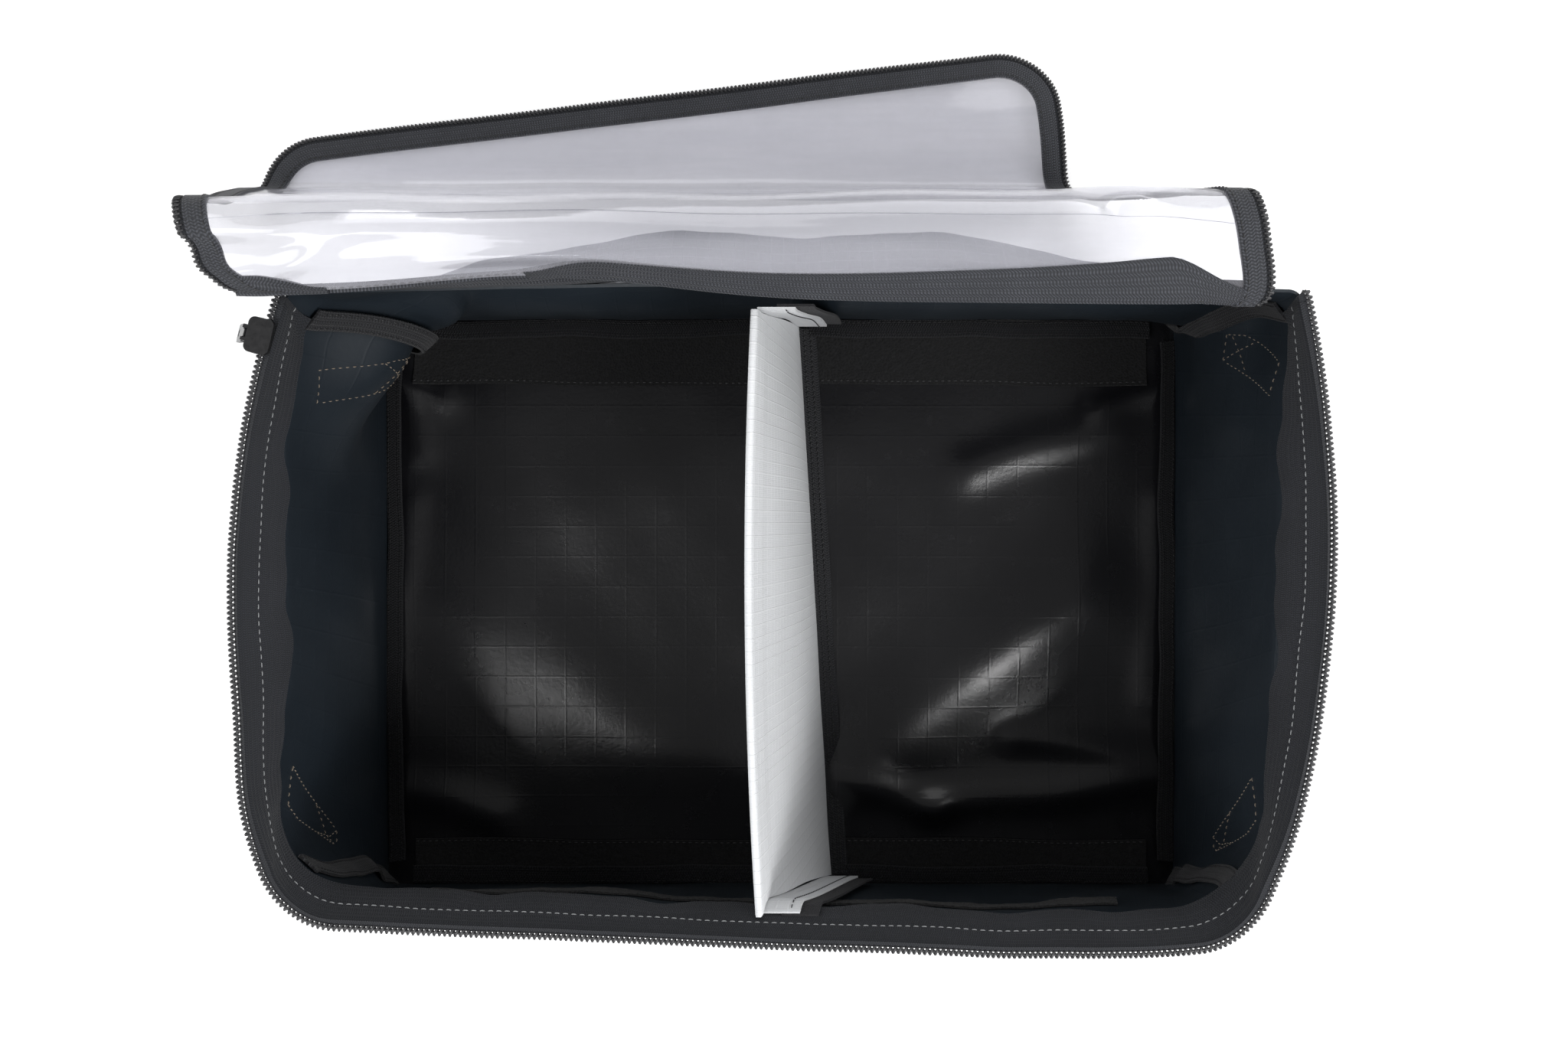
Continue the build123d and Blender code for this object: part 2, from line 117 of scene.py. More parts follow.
def along(path, run, at):
    """Values of a path, or of one that never changes, at given distances run."""
    path = np.broadcast_to(path, (len(run), np.shape(path)[-1]))
    return np.stack([np.interp(at, run, column) for column in path.T], -1)


def show(made):
    bpy.context.scene.collection.objects.link(made)


# ---- mesh building ----
class Work:
    """Gathers the faces of one piece. A mark is the number of a face's material."""

    def __init__(self):
        self.points, self.faces, self.marks, self.cloth, self.count = [], [], [], [], 0

    def add(self, points, faces, mark, cloth=None):
        points = np.asarray(points, float).reshape(-1, 3)
        self.points.append(points)
        self.cloth.append(points[:, :2] if cloth is None else np.asarray(cloth, float).reshape(-1, 2))
        self.faces += [tuple(i + self.count for i in face) for face in faces]
        self.marks += [mark] * len(faces) if np.isscalar(mark) else list(mark)
        self.count += len(points)

    def sheet(self, grid, front, back, marks=(0, 0), wrap=False, cloth=None):
        """A closed sheet round a grid of points; front and back are how far its faces lie from the grid."""
        rows, columns = grid.shape[:2]
        step = np.roll(grid, -1, 1) - np.roll(grid, 1, 1) if wrap else np.gradient(grid, axis=1)
        normal = unit(np.cross(step, np.gradient(grid, axis=0)))
        front, back = [np.broadcast_to(x, (rows, columns))[..., None] for x in (front, back)]
        skins = np.concatenate([grid + normal * front, grid - normal * back])
        size = rows * columns
        faces, face_marks = [], []
        across = range(columns if wrap else columns - 1)
        for i in range(rows - 1):
            for j in across:
                a, b = i * columns + j, i * columns + (j + 1) % columns
                faces.append((a, b, b + columns, a + columns))
                faces.append((a + columns + size, b + columns + size, b + size, a + size))
                face_marks += [marks[0], marks[1]]
        for j in across:
            a, b, top = j, (j + 1) % columns, (rows - 1) * columns
            faces += [(b, a, a + size, b + size), (a + top, b + top, b + top + size, a + top + size)]
            face_marks += [marks[1]] * 2
        for i in range(rows - 1 if not wrap else 0):
            a, b, right = i * columns, (i + 1) * columns, columns - 1
            faces += [(a, b, b + size, a + size),
                      (b + right, a + right, a + right + size, b + right + size)]
            face_marks += [marks[1]] * 2
        if cloth is None:
            sizes = [np.linalg.norm(np.diff(grid, axis=k), axis=2).mean(1 - k) for k in (1, 0)]
            cloth = np.stack(np.meshgrid(*[np.pad(np.cumsum(size), (1, 0)) for size in sizes]), -1)
        self.add(skins, faces, face_marks, np.concatenate([cloth.reshape(-1, 2)] * 2))

    def tube(self, line, radius, sides, reference, mark):
        heading = unit(np.gradient(line, axis=0))
        a = unit(np.cross(heading, reference))
        b = np.cross(heading, a)
        turn = (np.arange(sides) * 2 * math.pi / sides)[:, None]
        rings = line[:, None] + radius * (a[:, None] * np.cos(turn) + b[:, None] * np.sin(turn))
        last = (len(line) - 1) * sides
        faces = []
        for first in range(0, last, sides):
            for j in range(sides):
                k = (j + 1) % sides
                faces.append((first + j, first + k, first + sides + k, first + sides + j))
        faces += [tuple(range(sides))[::-1], tuple(range(last, last + sides))]
        self.add(rings, faces, mark)

    def coil(self, path, outward, up, mark, width=4.2, height=2.6, wire=0.62):
        """One side of a coil zip: a wire wound round the path."""
        run = lengths(path)
        at = np.linspace(0, run[-1], int(run[-1] / zip_pitch * 10))
        centre, out, rise = along(path, run, at), unit(along(outward, run, at)), unit(along(up, run, at))
        turn = (2 * math.pi * at / zip_pitch)[:, None]
        line = centre + out * np.cos(turn) * (width / 2 - wire) + rise * np.sin(turn) * (height / 2 - wire)
        self.tube(line, wire, 5, unit(np.gradient(centre, axis=0)), mark)

    def stitches(self, path, up, mark, length, gap, radius):
        """A row of sewn stitches along a path."""
        run = lengths(path)
        at = np.arange(length / 2, run[-1] - length / 2, length + gap)
        if not len(at):
            return
        centre, rise = along(path, run, at), unit(along(up, run, at))
        heading = unit(along(path, run, at + 0.2) - along(path, run, at - 0.2))
        side = np.cross(heading, rise)
        turn = (np.arange(6) * math.pi / 3)[:, None]
        around = rise[:, None] * np.cos(turn) + side[:, None] * np.sin(turn)
        # Rings along a stitch: place, thickness and lift, as shares of its length and radius.
        profile = ((-0.5, 0.4, -0.5), (-0.3, 1, 0.3), (0, 1, 0.6), (0.3, 1, 0.3), (0.5, 0.4, -0.5))
        rings = [centre[:, None] + heading[:, None] * length * share + rise[:, None] * radius * lift
                 + around * radius * size for share, size, lift in profile]
        faces = []
        for first in range(0, len(at) * 30, 30):
            for ring in range(first, first + 24, 6):
                for j in range(6):
                    k = (j + 1) % 6
                    faces.append((ring + j, ring + 6 + j, ring + 6 + k, ring + k))
            faces += [tuple(range(first, first + 6)), tuple(range(first + 24, first + 30))[::-1]]
        self.add(np.stack(rings, 1), faces, mark)

    def seams(self, path, facing, across, rows, faces, *stitch):
        """Rows of stitches along a tape, at distances across it, on faces given as side and standoff."""
        for row in rows:
            for face, lift in faces:
                self.stitches(path + across * row + facing * face * lift, facing * face, 1, *stitch)

    def piece(self, name, materials, slot, sharp=50):
        mesh = bpy.data.meshes.new(name)
        mesh.from_pydata((np.concatenate(self.points) / 1000).tolist(), [], self.faces)
        for material in materials:
            mesh.materials.append(material)
        mesh.polygons.foreach_set("material_index", self.marks)
        layer = mesh.uv_layers.new(name="cloth")
        corners = np.zeros(len(mesh.loops), int)
        mesh.loops.foreach_get("vertex_index", corners)
        layer.data.foreach_set("uv", (np.concatenate(self.cloth)[corners] / 10).ravel())
        mesh.shade_smooth()
        mesh.set_sharp_from_angle(angle=math.radians(sharp))
        mesh.update()
        made = bpy.data.objects.new("soft_" + name if name in frame["nodes"] else name, mesh)
        show(made)
        return made

    def settle(self, name, materials, slot, body, nodes=None, sharp=50):
        """The piece rides on a body and stands for CAD nodes: the one of its own name if none are given."""
        made = self.piece(name, materials, slot, sharp)
        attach(made, body)
        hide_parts(*(nodes or [name]))
        return made


# ---- materials ----
class Finish:
    """A node material. Cloth coordinates are in centimetres of fabric."""

    def __init__(self, name):
        self.material = bpy.data.materials.new(name)
        self.material.use_nodes = True
        self.tree = self.material.node_tree
        self.tree.nodes.clear()
        cloth = self.output("ShaderNodeUVMap", uv_map="cloth")
        self.u, self.v = self.make("ShaderNodeSeparateXYZ", {0: cloth}).outputs[:2]
        self.place = self.make("ShaderNodeTexCoord").outputs["Object"]

    def make(self, kind, inputs=(), **settings):
        node = self.tree.nodes.new(kind)
        for key, value in settings.items():
            setattr(node, key, value)
        for key, value in dict(inputs).items():
            if isinstance(value, bpy.types.NodeSocket):
                self.tree.links.new(value, node.inputs[key])
            else:
                node.inputs[key].default_value = value
        return node

    def output(self, kind, inputs=(), **settings):
        return self.make(kind, inputs, **settings).outputs[0]

    def maths(self, operation, a, b=0.0, c=0.0):
        return self.output("ShaderNodeMath", {0: a, 1: b, 2: c}, operation=operation)

    def times(self, a, b, plus=None):
        if plus is None:
            return self.maths("MULTIPLY", a, b)
        return self.maths("MULTIPLY_ADD", a, b, plus)

    def ramp(self, value, low, high):
        """0 up to low, 1 from high on."""
        return self.output("ShaderNodeMapRange", {"Value": value, "From Min": low, "From Max": high})

    def noise(self, scale, detail=4.0, where=None, rough=0.55):
        """Cloudy variation from 0 to 1; scale is in features per metre of the object."""
        inputs = {"Vector": where or self.place, "Scale": scale, "Detail": detail, "Roughness": rough}
        return self.make("ShaderNodeTexNoise", inputs).outputs["Fac"]

    def mix(self, amount, a, b):
        node = self.make("ShaderNodeMix", {"Factor": amount}, data_type="RGBA")
        for socket, value in ((node.inputs[6], a), (node.inputs[7], b)):
            if isinstance(value, bpy.types.NodeSocket):
                self.tree.links.new(value, socket)
            else:
                socket.default_value = (*value, 1)
        return node.outputs[2]

    def wave(self, coordinate, pitch):
        """A sine from 0 to 1 with that pitch in centimetres."""
        turn = self.times(coordinate, 2 * math.pi / pitch)
        return self.times(self.maths("SINE", turn), 0.5, 0.5)

    def lines(self, coordinate, pitch, width):
        """1 on thin lines that far apart, 0 between them."""
        place = self.maths("FRACT", self.maths("DIVIDE", coordinate, pitch))
        saw = self.maths("ABSOLUTE", self.maths("SUBTRACT", place, 0.5))
        return self.ramp(saw, 0.5 - width / pitch, 0.5)

    def squares(self, pitch, width):
        """A grid of such lines both ways of the cloth."""
        return self.maths("MAXIMUM", self.lines(self.u, pitch, width), self.lines(self.v, pitch, width))

    def relief(self, height, distance):
        return self.output("ShaderNodeBump", {"Height": height, "Distance": distance / 1000})

    def finish(self, inputs):
        shader = self.make("ShaderNodeBsdfPrincipled", inputs)
        self.close(shader.outputs[0])
        return self.material

    def close(self, socket):
        out = self.make("ShaderNodeOutputMaterial")
        self.tree.links.new(socket, out.inputs[0])


def shades(colour, dark, light):
    """A darker and a lighter shade of a colour."""
    return [c * dark for c in colour], [min(1, c * light) for c in colour]


def ripstop(name, colour, line_colour, roughness, relief=0.25):
    """Ripstop canvas: a fine weave crossed by a grid of doubled threads."""
    f = Finish(name)
    grid = f.squares(0.62, 0.05)
    weave = f.times(f.wave(f.u, 0.09), f.wave(f.v, 0.09))
    slub = f.times(f.noise(900, 2), 0.3)
    tint = f.mix(f.times(f.noise(22, 5), 0.7, slub), *shades(colour, 0.86, 1.1))
    tint = f.mix(f.times(grid, 0.35), tint, line_colour)
    height = f.maths("ADD", f.times(grid, 0.8), f.times(weave, 0.35, slub))
    return f.finish({"Base Color": tint, "Roughness": roughness, "Sheen Weight": 0.08, "Sheen Roughness": 0.4,
                     "Normal": f.relief(height, relief)})


def coated(name, colour, worn_colour, roughness, grid_relief, gloss):
    """The coated face of the canvas: glossy, with the ripstop grid showing faintly through it."""
    f = Finish(name)
    cloud = f.noise(14, 6)
    scuff = f.ramp(f.noise(60, 8, rough=0.7), 0.6, 0.8)
    tint = f.mix(f.times(scuff, 0.35, f.times(cloud, 0.5)), colour, worn_colour)
    rough = f.maths("ADD", f.times(cloud, 0.14, roughness - 0.07), f.times(scuff, 0.12))
    dimples = f.times(f.noise(420, 3), 0.25, f.times(cloud, 1.6))
    height = f.maths("ADD", f.times(f.squares(1.9, 0.09), grid_relief), dimples)
    return f.finish({"Base Color": tint, "Roughness": rough, "Specular IOR Level": gloss,
                     "Normal": f.relief(height, 0.3)})


def woven_tape(name, colour, light, pitch=0.16, roughness=0.72, relief=0.4):
    """Ribbed woven tape or webbing: ribs run across it, in a slight zigzag."""
    f = Finish(name)
    ribs = f.wave(f.times(f.wave(f.v, pitch * 2.4), pitch * 0.6, f.u), pitch)
    weave = f.times(f.times(ribs, f.wave(f.v, pitch)), 0.7, f.times(ribs, 0.4))
    tint = f.mix(f.times(weave, f.times(f.noise(40, 4), 0.8, 0.35)), colour, light)
    return f.finish({"Base Color": tint, "Roughness": roughness, "Sheen Weight": 0.06, "Sheen Roughness": 0.5,
                     "Specular IOR Level": 0.35,
                     "Normal": f.relief(f.times(f.noise(1500, 3), 0.4, weave), relief)})


def pile(name, colour, light, scale, relief):
    """Loop or hook tape."""
    f = Finish(name)
    dots = f.output("ShaderNodeTexVoronoi", {"Vector": f.place, "Scale": scale})
    tufts = f.times(f.noise(scale * 0.4, 6, rough=0.7), 1.2, f.times(dots, 0.8))
    tint = f.mix(f.times(tufts, 0.6), colour, light)
    return f.finish({"Base Color": tint, "Roughness": 0.95, "Sheen Weight": 0.05, "Sheen Roughness": 0.7,
                     "Specular IOR Level": 0.15, "Normal": f.relief(tufts, relief)})


def plain(name, colour, roughness, metallic=0.0, scale=300, relief=0.05):
    """Nylon, thread or enamel, with slight wear."""
    f = Finish(name)
    cloud = f.noise(scale, 4)
    rough = f.times(cloud, 0.25, roughness - 0.12)
    return f.finish({"Base Color": f.mix(cloud, *shades(colour, 0.8, 1.25)), "Roughness": rough,
                     "Metallic": metallic, "Normal": f.relief(cloud, relief)})


def clear_vinyl(name):
    """Clear flexible sheet: see-through, glossy, with a faint lilac haze, long streaks and a little grime."""
    f = Finish(name)
    normal = f.relief(f.times(f.noise(35, 2), 0.3, f.noise(9, 5)), 0.8)
    through = f.output("ShaderNodeBsdfTransparent", {"Color": (0.905, 0.905, 0.925, 1)})
    haze = f.output("ShaderNodeBsdfDiffuse", {"Color": (0.60, 0.60, 0.65, 1), "Normal": normal})
    gloss = f.output("ShaderNodeBsdfGlossy", {"Color": (1, 1, 1, 1), "Roughness": 0.09, "Normal": normal})
    glare = f.output("ShaderNodeFresnel", {"IOR": 1.5, "Normal": normal})
    drawn_out = {"Vector": f.place, "Rotation": (0, 0, 0.13), "Scale": (0.5, 7, 2.5)}
    streaks = f.ramp(f.noise(5, 3, f.output("ShaderNodeMapping", drawn_out)), 0.38, 0.62)
    grime = f.times(f.noise(26, 7, rough=0.65), 0.08, 0.02)
    smear = f.maths("ADD", grime, f.times(streaks, 0.14))
    body = f.output("ShaderNodeMixShader", {0: smear, 1: through, 2: haze})
    f.close(f.output("ShaderNodeMixShader", {0: f.times(glare, 0.42), 1: body, 2: gloss}))
    return f.material


grey_canvas = ripstop("grey_ripstop", (0.36, 0.37, 0.385), (0.50, 0.51, 0.53), 0.7)
divider_cloth = ripstop("divider_ripstop", (0.55, 0.56, 0.575), (0.70, 0.71, 0.72), 0.65)
lining = coated("wall_lining", (0.007, 0.0105, 0.015), (0.017, 0.024, 0.031), 0.46, 0.25, 0.42)
floor_finish = coated("floor_lining", (0.004, 0.004, 0.005), (0.011, 0.011, 0.013), 0.27, 0.14, 0.5)
tape = woven_tape("binding_tape", (0.010, 0.011, 0.014), (0.065, 0.069, 0.082))
# Painted shade: the seam bindings inside the bag use the binding tape made about three times darker, for the
# shade they lie in.
painted_shade_tape = woven_tape("painted_shade_binding_tape", (0.003, 0.003, 0.004), (0.020, 0.021, 0.025))
zip_tape = woven_tape("zip_tape", (0.004, 0.0048, 0.0065), (0.018, 0.020, 0.027), 0.11, 0.8, 0.25)
webbing = woven_tape("webbing", (0.008, 0.008, 0.009), (0.05, 0.05, 0.055), 0.22, 0.68, 0.6)
loop_pile = pile("loop_pile", (0.002, 0.002, 0.002), (0.013, 0.013, 0.014), 700, 0.9)
hook_pile = pile("hook_pile", (0.004, 0.004, 0.005), (0.022, 0.022, 0.025), 1100, 0.5)
nylon = plain("coil_nylon", (0.020, 0.020, 0.022), 0.42)
pale_thread = plain("pale_thread", (0.17, 0.175, 0.18), 0.6)
brown_thread = plain("brown_thread", (0.16, 0.13, 0.10), 0.6)
black_thread = plain("black_thread", (0.012, 0.012, 0.013), 0.55)
vinyl = clear_vinyl("clear_vinyl")
enamel = plain("slider_enamel", (0.02, 0.02, 0.021), 0.32, 0.6, 500, 0.03)
# The inside seams' binding uses that darker copy of the tape, which is painted shade.
painted_shade_seam = [painted_shade_tape, black_thread], "seam_binding"


# ---- the bag's soft shape ----
def outline(shape, u):
    """Plan points of one of the bag's outlines."""
    side, front, back, near, far, bow = shape
    u = np.mod(u, 8)
    part = np.floor(u).astype(int)
    t = u - part
    mirrored = part > 4
    part, t = np.where(mirrored, 8 - part, part), np.where(mirrored, 1 - t, t)
    turn = math.radians(bowed_corner_turn if bow else 90)

    def run(radius, share):
        return radius * (math.sin(turn) - np.sin(turn * share))

    def rise(radius, share):
        return radius * (1 - np.cos(turn * share))

    low, high = front + rise(near, 1), back - rise(far, 1)
    middle = 2 * t - 1
    parts = [part == number for number in range(4)]
    x = np.select(parts, [(side - run(near, 0)) * middle, side - run(near, t), side + bow * (1 - middle ** 2),
                          side - run(far, 1 - t)], -(side - run(far, 0)) * middle)
    y = np.select(parts, [front + 0 * t, front + rise(near, t), low + (high - low) * t,
                          back - rise(far, 1 - t)], back)
    return np.stack([np.where(mirrored, -x, x), y], -1)


steps = np.linspace(0, 8, 801)
ring_run = lengths(np.pad(outline(shoulder, steps - 1e-9), ((0, 0), (0, 1))))
ring_length = ring_run[-1]


def run_at(u):
    """Distance round the shoulder at u."""
    return np.interp(np.mod(u, 8), steps, ring_run)


def ripples(u, height):
    """Soft wrinkles of the walls, outwards, with the back wall's bulge and a dent near each corner."""
    turn, total = 2 * math.pi * run_at(u) / ring_length, 0
    for turns, climb, phase, size in ((5, 0.02, 0.4, 1.5), (11, -0.016, 2.1, 1.2), (19, 0.034, 4.0, 0.6),
                                      (33, -0.05, 1.2, 0.35), (58, 0.04, 5.1, 0.22)):
        total = total + size * np.sin(turns * turn + climb * height + phase)
    total = total * (0.12 + 0.88 * np.sin(math.pi * np.clip(height / 188, 0, 1)) ** 0.8)
    aside = run_at(u) - run_at(4.5)
    middle = bump(aside / 190) * (1 - 0.15 * bump((aside + 6) / 38))
    total = total + back_bulge * middle * bump((height - 133) / 37)
    for corner, width, size, level, reach in ((5.5, 42, -6, 60, 40), (1.5, 30, -5, 60, 40),
                                              (3.5, 34, -7, 70, 46), (7.5, 30, -6, 66, 44)):
        away = (run_at(u) - run_at(corner)) / width
        total = total + size * bump(away) * bump((height - level) / reach)
        total = total + 1.3 * bump(away * 1.4) * np.sin(height / 7.5 + corner) * bump((height - level) / 60)
    return total


def slouch(p):
    """How far the bag's soft upper part has slumped, with the fold tucked in at the back left corner."""
    x, y, height = p[..., 0], p[..., 1], p[..., 2]
    share = np.clip(height / rim_height, 0, 1.1) ** 1.4
    right, left, front = smooth(x / 200), smooth(-x / 200), smooth(-y / 130)
    dx = right * (0.055 * y + 1) - 6 * left * bump((y + 104) / 42)
    dx = dx - 3 * bump((x - 236) / 34) * bump((y + 138) / 34)
    dy = front * np.clip(1.5 - 0.04 * x, -3, 12) + 5 * bump((x - 240) / 36) * bump((y + 140) / 40)
    tuck = bump(np.hypot(x + 240, y - 166) / 56) * bump((height - 112) / 44)
    return np.stack([dx * share + 48 * tuck, dy * share - 14 * tuck, 0 * x], -1)


def wall_plan(u, height):
    low, middle, top = outline(base, u), outline(shoulder, u), outline(lip, u)
    climb = (height / shoulder_height)[..., None]
    flare = ((height - shoulder_height) / (lip_height - shoulder_height))[..., None]
    return np.where(climb < 1, low + (middle - low) * climb, middle + (top - middle) * flare)


def bare_wall(u, height):
    """The outer face of the wall."""
    plan = sum(wall_plan(u, height + step) for step in (-6, -3, 0, 3, 6)) / 5
    ahead = outline(shoulder, u + 0.02) - outline(shoulder, u - 0.02)
    outward = unit(np.stack([ahead[..., 1], -ahead[..., 0]], -1))
    plan = plan + outward * ripples(u, height)[..., None]
    p = np.concatenate([plan, height[..., None]], -1)
    return p + slouch(p)


def wall_frame(u, height):
    """Point, outward normal, and directions round and up the wall."""
    u, height = np.broadcast_arrays(np.asarray(u, float), np.asarray(height, float))
    round_it = unit(bare_wall(u + 0.01, height) - bare_wall(u - 0.01, height))
    up = unit(bare_wall(u, height + 1) - bare_wall(u, height - 1))
    return bare_wall(u, height), unit(np.cross(round_it, up)), round_it, up


def on_wall(u, height, inwards):
    """A point that far inside the wall's outer face."""
    point, normal, _, _ = wall_frame(u, height)
    inwards = np.broadcast_to(inwards, point.shape[:-1])
    return point - normal * inwards[..., None]


def spread(parts):
    """Values of u with a number of steps in each of the eight parts."""
    return np.concatenate([k + np.arange(count) / count for k, count in enumerate(parts)])


def u_at(part, y, height):
    """The u on a side wall at a given y."""
    us = part + np.linspace(0.001, 0.999, 60)
    ys = bare_wall(us, np.full(60, float(height)))[:, 1]
    order = np.argsort(ys)
    return np.interp(y, ys[order], us[order])


def boxed_cross(work, part, where, lean):
    """Pale stitching through a side wall and a handle's webbing: a box with a cross in it."""
    s = 1 if part == 2 else -1
    across, tall, level, tilt = 9.5, 29, 124.0, math.radians(18 * lean * s)
    corners = [(-across, -tall), (across, -tall), (across, tall), (-across, tall), (-across, -tall)]
    lines = [corners[k:k + 2] for k in range(4)]
    lines += [[(-across, -tall), (across, -tall + 24)], [(across, -tall), (-across, -tall + 24)]]
    middle = part + (where if s > 0 else 1 - where)
    sides = [bare_wall(np.array(middle + step), np.array(level)) for step in (0.05, -0.05)]
    per_u = np.linalg.norm(sides[0] - sides[1]) / 0.1
    for start, end in lines:
        t = np.linspace(0, 1, 24)
        x, y = [start[k] * (1 - t) + end[k] * t for k in range(2)]
        at_u = middle + (x * math.cos(tilt) - y * math.sin(tilt)) / per_u
        at_height = level + (x * math.sin(tilt) + y * math.cos(tilt))
        _, normal, _, _ = wall_frame(at_u, at_height)
        work.stitches(on_wall(at_u, at_height, canvas + 0.1), -normal, 2, 2.0, 2.2, 0.28)


def bag_shell():
    u = spread((72, 12, 48, 8, 72, 8, 48, 12))
    heights = np.concatenate([np.linspace(0, 168, 30), np.linspace(171, lip_height, 8)])
    grid = bare_wall(*np.meshgrid(u, heights))
    cloth = np.stack(np.meshgrid(run_at(u), heights), -1)
    work = Work()
    work.sheet(grid, 0, canvas, (0, 1), wrap=True, cloth=cloth)
    for part in (2, 6):
        for where, lean in ((0.02, -1), (0.95, 1)):
            boxed_cross(work, part, where, lean)
    work.settle("bag_shell", [grey_canvas, lining, brown_thread], "canvas", "bag",
                [f"{side}_wall" for side in ("back", "front", "left", "right")])


# The soft ridges of the floor lining: from x, y to x, y, with height and half width.
ridges = [(-246, 22, -60, -92, 2.6, 34), (-60, -92, 18, -128, 2.2, 30), (56, -96, 184, 4, 7.0, 30),
          (34, -112, 96, -128, 5.0, 11), (96, -128, 236, -112, 5.6, 12), (150, -86, 240, -98, 3.4, 9),
          (-244, 140, -214, 128, 4.0, 9), (-236, 150, -226, 96, 3.2, 10), (120, 84, 206, 112, 3.2, 13),
          (200, 122, 240, 134, 3.6, 8), (-244, -118, -180, -134, 3.6, 12), (-246, -40, -232, 60, 2.2, 9),
          (232, -60, 240, 60, 2.4, 10), (-120, 60, 20, 96, 1.6, 30), (50, 20, 130, -30, 1.6, 34)]


def floor_height(x, y):
    """Top of the floor lining, which lies in soft wrinkles."""
    total = 1.9 + 0.5 * np.sin(x / 61 + 0.8) * np.sin(y / 47 + 2) + 0.2 * np.sin(x / 19 + y / 31) ** 2
    for x0, y0, x1, y1, height, width in ridges:
        length = math.hypot(x1 - x0, y1 - y0)
        run = ((x - x0) * (x1 - x0) + (y - y0) * (y1 - y0)) / length
        aside = ((x - x0) * (y1 - y0) - (y - y0) * (x1 - x0)) / length
        beyond = np.maximum(0, np.maximum(-run, run - length)) / (width * 1.2)
        bend = aside + 0.12 * width * np.sin(run / (width * 1.4))
        total = total + height * bump(bend / width) * bump(beyond)
    edge = smooth((base[0] - np.abs(x)) / 12) * smooth((base[2] - np.abs(y)) / 12)
    return 1.7 + (total - 1.7) * edge


def floor_lining():
    xs, ys = np.linspace(-base[0] + 1, base[0] - 1, 150), np.linspace(-base[2] + 1, base[2] - 1, 108)
    x, y = np.meshgrid(xs, ys)
    over_x = np.maximum(0, np.abs(x) - base[0] + base[3])
    over_y = np.maximum(0, np.abs(y) - base[2] + base[3])
    pull_in = np.minimum(1, (base[3] - 1) / np.maximum(np.hypot(over_x, over_y), 1e-6))
    x = x - np.sign(x) * over_x * (1 - pull_in)
    y = y - np.sign(y) * over_y * (1 - pull_in)
    grid = np.stack([x, y, floor_height(x, y)], -1)
    work = Work()
    work.sheet(grid, 0, floor_height(x, y) - 0.3)
    work.settle("floor_lining", [floor_finish], "floor_lining", "bag", ["floor_panel"])


def strip(work, path, across, width, front, back, columns=5, crown=0.3):
    """A ribbon of tape along a path, slightly crowned."""
    t = np.linspace(-1, 1, columns)
    aside, rise = t * width / 2, crown * (1 - t * t)
    facing = unit(np.cross(np.gradient(path, axis=0), across))
    grid = path[:, None] + across[:, None] * aside[:, None] + facing[:, None] * rise[:, None]
    cloth = np.stack(np.meshgrid(aside, lengths(path)), -1)[..., ::-1]
    work.sheet(grid, front, back, cloth=cloth)
    return facing


def seam_bindings():
    for name, part, count in (("front", 0, 150), ("right", 2, 110), ("back", 4, 150), ("left", 6, 110)):
        u = part + np.linspace(0.02, 0.98, count)
        run = run_at(u)
        wave = 1.1 * np.sin(run / 17 + part) + 0.7 * np.sin(run / 7.3 + 2 * part)
        low, normal, _, up = wall_frame(u, 5.5 + 0 * u)
        across = unit(up * 0.5 - normal * (0.9 + 0.12 * np.sin(run / 23))[:, None])
        path = low - normal * (7.6 + 0.5 * wave)[:, None] + upright * (1.0 + 0.3 * wave)[:, None]
        work = Work()
        facing = strip(work, path, across, binding_width, 0.6, 0.6)
        work.seams(path, facing, across, (-4.2, 4.2), ((-1, 0.9), (1, 0.9)), 2.2, 1.0, 0.25)
        work.settle(f"floor_seam_binding_{name}", *painted_shade_seam, "bag")
    for name, u in (("front_right", 1.5), ("back_right", 3.5), ("back_left", 5.5), ("front_left", 7.5)):
        heights = np.linspace(9, 171, 46)
        sway = 0.05 * np.sin(heights / 21 + u)
        point, normal, round_it, _ = wall_frame(u + sway, heights)
        tucked = 5 * bump((heights - 112) / 50) if name == "back_left" else 0 * heights
        path = point - normal * (canvas + 1.7 + tucked)[:, None]
        work = Work()
        facing = strip(work, path, round_it, binding_width, 0.7, 0.7)
        work.seams(path, facing, round_it, (-4.4, 4.4), ((1, 1.0), (-1, 0.8)), 2.4, 1.2, 0.25)
        work.settle(f"corner_seam_binding_{name}", *painted_shade_seam, "bag")


def fuzz(grid, size):
    """Fixed small unevenness for a brushed surface."""
    rows, columns = np.meshgrid(np.arange(grid.shape[1]), np.arange(grid.shape[0]))
    value = np.sin(rows * 12.9898 + columns * 78.233) * 43758.5453
    return size * (value - np.floor(value) - 0.5)


def loop_strips():
    for name in ("front", "back"):
        low, high = box(f"floor_loop_strip_{name}")
        xs, ys = np.linspace(low[0], high[0], 220), np.linspace(low[1], high[1], 20)
        x, y = np.meshgrid(xs, ys)
        y = y + 0.8 * np.sin(x / 43) + 0.4 * np.sin(x / 16)
        grid = np.stack([x, y, floor_height(x, y) + 1.3], -1)
        work = Work()
        work.sheet(grid, 0.2 + fuzz(grid, 0.5), 0.9)
        for edge in (1, -2):
            work.stitches(grid[edge] + 0.25 * upright, upright, 1, 2.2, 1.8, 0.28)
        work.settle(f"floor_loop_strip_{name}", [loop_pile, nylon], "loop_tape", "bag")

        low, high = box(f"wall_loop_strip_{name}")
        u = (0 if name == "front" else 4) + np.linspace(0.07, 0.93, 200)
        grid = on_wall(*np.meshgrid(u, np.linspace(low[2], high[2], 12)), canvas + 0.9)
        work = Work()
        work.sheet(grid, 0.5, 0.5 + fuzz(grid, 0.4))
        work.settle(f"wall_loop_strip_{name}", [loop_pile], "loop_tape", "bag")


